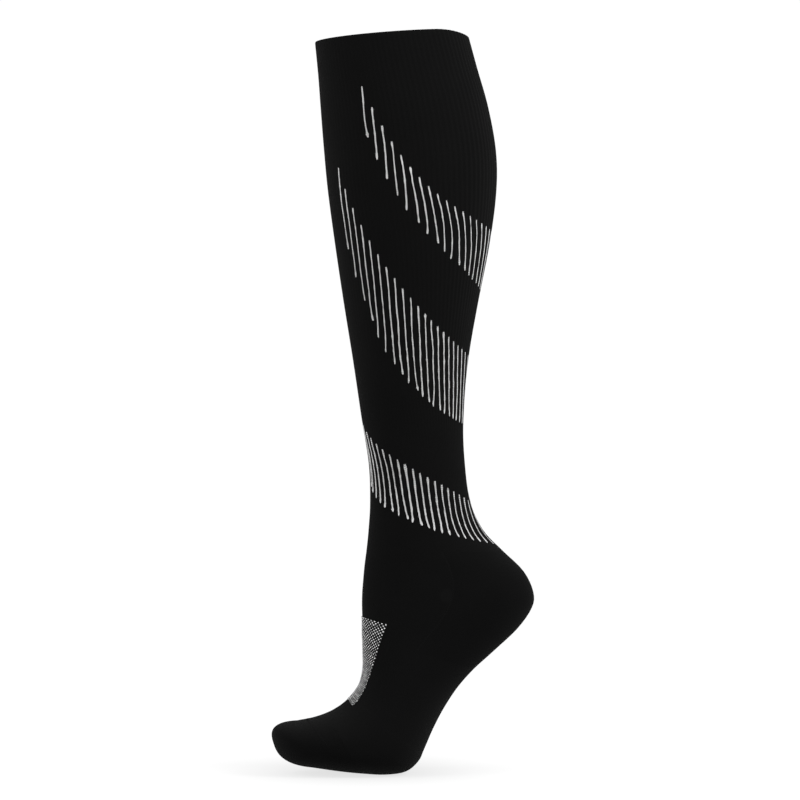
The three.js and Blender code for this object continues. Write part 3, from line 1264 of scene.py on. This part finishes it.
@dataclass
class Toe:
    """The toe pocket, closed by a linked seam across the top of the toes.

    Its loops are laid round toe_middle, a place's x and z, at about toe_reach from it.
    """

    columns: int = NEEDLES * 2
    outer_step: float = 1 / 8
    inner_step: float = 1 / 2
    tip_rings: int = 24
    seam_station: float = 27.4
    seam_bow: float = 0.5
    seam_reach: float = 0.235
    seam_loops: int = 90
    toe_middle: Pair = (-0.035, -0.4845)
    toe_reach: float = 0.03
    toe_girth: float = 0.225
    cut: Pair = (0.172, 0.062)
    area: float = 0.0074

    def build(self) -> None:
        """Builds the pocket and its seam."""
        start = STATION["toe_start"]
        wales = np.arange(self.columns) / self.columns
        over_tip = np.linspace(LAST, TIP, self.tip_rings + 1)
        down = np.concatenate([np.arange(start, LAST, self.outer_step), over_tip])
        under_tip = np.linspace(TIP, LAST, self.tip_rings // 2 + 1)
        back = np.arange(LAST, start, -self.inner_step) - self.inner_step
        up = np.concatenate([under_tip, back])
        outer = FORM.at(down[:, None], wales)[0]
        points, normals = FORM.at(up[:, None], wales)
        rings = np.concatenate([outer, points - normals * TOE_WALL])
        self.piece = closed_tube("toe_cloth", rings)
        self._lay_loops_over_the_toes()
        self._build_seam()

    def _lay_loops_over_the_toes(self) -> None:
        """Maps the wales along the toes, over the tip and back under the sole."""
        mesh = self.piece.data
        points = np.zeros(len(mesh.vertices) * 3)
        mesh.vertices.foreach_get("co", points)
        corner = np.zeros(len(mesh.loops), int)
        mesh.loops.foreach_get("vertex_index", corner)
        x, y, z = points.reshape(-1, 3)[corner].T
        turn = np.arctan2(z - self.toe_middle[1], self.toe_middle[0] - x)
        uv = np.stack([y * NEEDLES / self.toe_girth, turn * self.toe_reach / COURSE], axis=1)
        mesh.uv_layers["knit"].data.foreach_set("uv", uv.astype(np.float32).ravel())

    def _build_seam(self) -> None:
        """Builds the row of loops that closes the toe."""
        wales = np.linspace(-self.seam_reach, self.seam_reach, self.seam_loops)
        bow = self.seam_bow * (wales / self.seam_reach) ** 2
        points, normals = FORM.at(self.seam_station - bow, wales)
        run = LoopRun()
        run.add_line(points, normals, SEAM_WIDTH, spacing(points), SEAM_DEPTH)
        self.seam = run.build("toe_seam")

    def dress(self) -> None:
        dress(self.piece, BLACK_HEEL, Slot.REINFORCED)
        dress(self.seam, BLACK_YARN, Slot.REINFORCED)
        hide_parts("toe")


@dataclass(frozen=True)
class Lamp:
    """A square soft lamp, aimed at the leg."""

    place: Triple
    energy: float
    size: float = 0.7
    aim: Triple = (0.0, 0.0, -0.2)

    def build(self) -> None:
        """Hangs the lamp."""
        deselect()
        bpy.ops.object.light_add(type="AREA", location=self.place)
        lamp = bpy.context.active_object
        lamp.data.energy = self.energy
        lamp.data.size = self.size
        towards = Vector(self.aim) - Vector(self.place)
        lamp.rotation_euler = towards.to_track_quat("-Z", "Y").to_euler()


@dataclass(frozen=True)
class Studio:
    """A plain white floor with a soft shade painted into its glow under the foot, plain soft
    light and the camera.
    """

    camera_place: Triple = (0.0062, -3.4, -0.2491)
    lens: float = 223.38
    sensor: float = 36.0
    floor_radius: float = 5.0
    floor_gap: float = 0.05 * MM
    floor_dark: float = 0.065
    floor_light: float = 0.075
    floor_glow: float = 0.94
    # The painted shade on the floor: how much its glow is dimmed at the middle, where that middle
    # lies, and how far round the dimming fades.
    shade: float = 0.24
    shade_middle: Pair = (-0.02, 0.04)
    shade_reach: Pair = (0.08, 0.14)
    sky: float = 1.02
    lamps: tuple[Lamp, ...] = (Lamp((1.15, -0.7, 0.6), 29.0), Lamp((-1.15, -0.9, 0.7), 17.0))

    def build(self) -> None:
        """Builds the floor, the lights and the camera."""
        self._floor()
        self._sky()
        for lamp in self.lamps:
            lamp.build()
        deselect()
        bpy.ops.object.camera_add(location=self.camera_place, rotation=(math.pi / 2, 0, 0))
        camera = bpy.context.active_object
        camera.data.lens = self.lens
        camera.data.sensor_width = self.sensor
        camera.data.clip_end = 50.0
        bpy.context.scene.camera = camera
        bpy.context.scene.view_settings.view_transform = "Standard"

    def _floor(self) -> None:
        """Lays the floor under the ball of the foot."""
        deselect()
        place = (*self.shade_middle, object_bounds()[0].z - self.floor_gap)
        bpy.ops.mesh.primitive_circle_add(
            vertices=96, radius=self.floor_radius, fill_type="NGON", location=place
        )
        floor = bpy.context.active_object
        floor.name = "studio_floor"
        graph = Graph("studio_floor")
        # Painted shade: the floor's glow is dimmed round the foot, standing in for the shadow
        # that the stocking casts.
        glow = 1 - graph.from_middle(self.shade_reach).fading() * self.shade
        tones = grey(self.floor_dark), grey(self.floor_light)
        inputs = {
            "Base Color": graph.blend(graph.noise(3.0, 1.0), *tones),
            "Roughness": 0.9,
            "Specular IOR Level": 0.0,
            "Emission Color": graph.blend(glow, grey(0), grey(1)),
            "Emission Strength": self.floor_glow,
        }
        graph.feed(graph.shader, inputs)
        floor.data.materials.append(graph.material)
        floor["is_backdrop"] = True

    def _sky(self) -> None:
        """Lights the room evenly."""
        world = bpy.data.worlds.new("studio")
        world.use_nodes = True
        background = world.node_tree.nodes["Background"]
        background.inputs["Color"].default_value = grey(1)
        background.inputs["Strength"].default_value = self.sky
        bpy.context.scene.world = world


def main() -> None:
    """Builds the stocking and the studio, and logs each piece with its triangles."""
    for part in (Welt(), Leg(), Foot(), Toe()):
        part.build()
        part.dress()
    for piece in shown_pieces():
        if piece.type == "MESH":
            triangles = sum(len(face.vertices) - 2 for face in piece.data.polygons)
            LOG.info("%s: %d triangles", piece.name, triangles)
    Studio().build()


if __name__ == "__main__":
    main()
